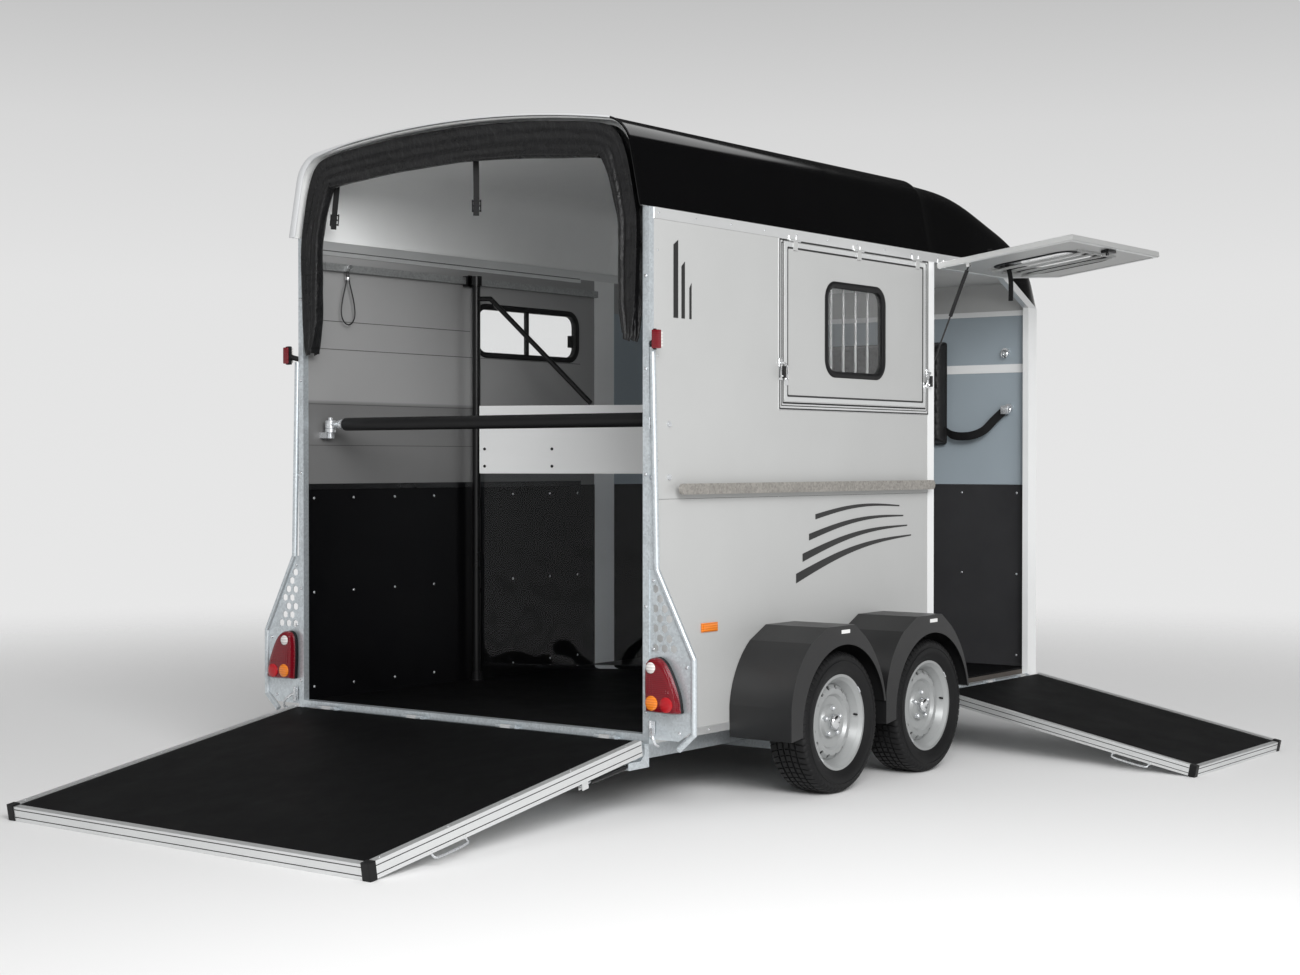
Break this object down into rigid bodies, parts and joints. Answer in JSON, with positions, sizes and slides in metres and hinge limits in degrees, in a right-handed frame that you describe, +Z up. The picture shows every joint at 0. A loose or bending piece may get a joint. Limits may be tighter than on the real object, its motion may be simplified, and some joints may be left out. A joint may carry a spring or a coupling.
{
  "type": "twin-axle horse trailer",
  "caption": "Twin-axle horse trailer with an arched roof, rear and side loading ramps, top-hinged side flap and hatch, swinging divider and jockey wheel.",
  "frame": {"origin": "centre of the tow ball in the coupling's socket", "axes": "+X forwards along the trailer's length, +Y to its left, +Z up; the socket opens along -Z"},
  "size_m": [6.0051, 3.4682, 2.722],
  "materials": {
    "galvanised": "galvanised",
    "aluminium": "satin",
    "silver_panel": "satin",
    "roof_black": "gloss",
    "ceiling_grey": "satin",
    "lining_black": "satin",
    "lining_blue": "satin",
    "plywood": "coated",
    "rubber_mat": "matt",
    "black_plastic": "fine grain",
    "black_steel": "powder coat",
    "window_rubber": "matt",
    "lamp_red": "gloss",
    "curtain_cloth": "coated cloth",
    "pad_cloth": "quilted",
    "clear_skirt": "clear sheet",
    "rim_silver": "silver paint",
    "tyre": "matt",
    "cable_black": "matt"
  },
  "bodies": {
    "trailer": {"chassis_frame": "galvanised", "drawbar": "galvanised", "coupling": "galvanised", "handbrake_lever": "black_plastic", "jockey_mast": "galvanised", "axles": "galvanised", "fenders": "black_plastic", "floor_panel": "plywood", "floor_mat": "rubber_mat", "rear_posts": "galvanised", "door_posts": "aluminium", "right_wall_rear": "silver_panel", "right_wall_lower": "silver_panel", "hatch_frame": "aluminium", "left_wall": "silver_panel", "left_window": "window_rubber", "front_wall": "silver_panel", "left_front_panel": "silver_panel", "roof": "roof_black", "roof_liner": "ceiling_grey", "kick_lining": "lining_black", "blue_lining": "lining_blue", "door_sills": "galvanised", "wall_rails": "aluminium", "divider_mounts": "galvanised", "tie_rails": "aluminium", "lamp_brackets": "galvanised", "lamps": "lamp_red", "curtain": "curtain_cloth", "head_pad": "pad_cloth", "wall_fittings": "galvanised", "strut_lugs": "galvanised", "tie_loop": "cable_black"},
    "wheel_right_rear": {"tyre_right_rear": "tyre", "rim_right_rear": "rim_silver"},
    "wheel_left_rear": {"tyre_left_rear": "tyre", "rim_left_rear": "rim_silver"},
    "wheel_right_front": {"tyre_right_front": "tyre", "rim_right_front": "rim_silver"},
    "wheel_left_front": {"tyre_left_front": "tyre", "rim_left_front": "rim_silver"},
    "rear_ramp": {"rear_ramp_frame": "aluminium", "rear_ramp_mat": "rubber_mat"},
    "ramp_strut_tube": {"ramp_strut_tubes": "black_steel"},
    "ramp_strut_rod": {"ramp_strut_rods": "galvanised"},
    "side_ramp": {"side_ramp_frame": "aluminium", "side_ramp_mat": "rubber_mat"},
    "flap": {"flap_panel": "silver_panel", "flap_window": "window_rubber"},
    "flap_strut_tube": {"flap_strut_tube": "black_steel"},
    "flap_strut_rod": {"flap_strut_rod": "galvanised"},
    "hatch": {"hatch_panel": "silver_panel", "hatch_window": "window_rubber"},
    "groom_door": {"groom_door": "silver_panel"},
    "divider": {"divider_post": "black_steel", "divider_plank": "aluminium", "divider_skirt": "clear_skirt"},
    "rear_bar": {"rear_bar": "pad_cloth"},
    "jockey_fork": {"jockey_fork": "galvanised"},
    "jockey_wheel": {"jockey_wheel": "tyre"}
  },
  "joints": [
    {"name": "wheel_right_rear_spin", "type": "hinge", "parent": "trailer", "child": "wheel_right_rear", "pos_m": [-3.54574, -1.1425, -0.111], "axis": [0, 1, 0], "continuous": true},
    {"name": "wheel_left_rear_spin", "type": "hinge", "parent": "trailer", "child": "wheel_left_rear", "pos_m": [-3.54574, 1.1425, -0.111], "axis": [0, 1, 0], "continuous": true},
    {"name": "wheel_right_front_spin", "type": "hinge", "parent": "trailer", "child": "wheel_right_front", "pos_m": [-2.81874, -1.1425, -0.111], "axis": [0, 1, 0], "continuous": true},
    {"name": "wheel_left_front_spin", "type": "hinge", "parent": "trailer", "child": "wheel_left_front", "pos_m": [-2.81874, 1.1425, -0.111], "axis": [0, 1, 0], "continuous": true},
    {"name": "rear_ramp_hinge", "type": "hinge", "parent": "trailer", "child": "rear_ramp", "pos_m": [-4.497, 0, -0.104], "axis": [0, 1, 0], "range_deg": [0, 99.35]},
    {"name": "ramp_strut_swing", "type": "hinge", "parent": "trailer", "child": "ramp_strut_tube", "pos_m": [-4.571, 0, -0.195], "axis": [0, 1, 0], "range_deg": [0, 98.32]},
    {"name": "ramp_strut_slide", "type": "slide", "parent": "ramp_strut_tube", "child": "ramp_strut_rod", "axis": [-0.9919, 0, -0.1272], "range_m": [0, 0.1797]},
    {"name": "side_ramp_hinge", "type": "hinge", "parent": "trailer", "child": "side_ramp", "pos_m": [-1.776, -0.974, -0.112], "axis": [-1, 0, 0], "range_deg": [0, 101.09]},
    {"name": "flap_hinge", "type": "hinge", "parent": "trailer", "child": "flap", "pos_m": [-1.975, -0.958, 1.866], "axis": [1, 0, 0], "range_deg": [0, 97.5]},
    {"name": "flap_strut_swing", "type": "hinge", "parent": "flap", "child": "flap_strut_tube", "pos_m": [-2.26, -1.11689, 1.84657], "axis": [1, 0, 0], "range_deg": [-118.8, 0]},
    {"name": "flap_strut_slide", "type": "slide", "parent": "flap_strut_tube", "child": "flap_strut_rod", "axis": [-0.0165, 0.3749, -0.9269], "range_m": [-0.1764, 0]},
    {"name": "hatch_hinge", "type": "hinge", "parent": "trailer", "child": "hatch", "pos_m": [-2.966, -0.958, 1.866], "axis": [-1, 0, 0], "range_deg": [0, 97.5]},
    {"name": "groom_door_hinge", "type": "hinge", "parent": "trailer", "child": "groom_door", "pos_m": [-1.408, 0.96, 0.775], "axis": [0, 0, -1], "range_deg": [0, 110]},
    {"name": "divider_swing", "type": "hinge", "parent": "trailer", "child": "divider", "pos_m": [-3.415, 0.868, 0.8], "axis": [0, 0, 1], "range_deg": [0, 60]},
    {"name": "rear_bar_swing", "type": "hinge", "parent": "trailer", "child": "rear_bar", "pos_m": [-4.353, 0.88, 1.11], "axis": [0, 0, 1], "range_deg": [-90, 0]},
    {"name": "jockey_swivel", "type": "hinge", "parent": "trailer", "child": "jockey_fork", "pos_m": [-0.425, 0.13, -0.1], "axis": [0, 0, 1], "continuous": true},
    {"name": "jockey_wheel_spin", "type": "hinge", "parent": "jockey_fork", "child": "jockey_wheel", "pos_m": [-0.425, 0.13, -0.3], "axis": [0, 1, 0], "continuous": true}
  ],
  "couplings": [
    {"joint": "ramp_strut_swing", "follows": "rear_ramp_hinge", "ratio": 0.98766},
    {"joint": "ramp_strut_slide", "follows": "rear_ramp_hinge", "m_per_rad": 0.10304},
    {"joint": "flap_strut_swing", "follows": "flap_hinge", "ratio": -1.2164},
    {"joint": "flap_strut_slide", "follows": "flap_hinge", "m_per_rad": -0.10305}
  ]
}
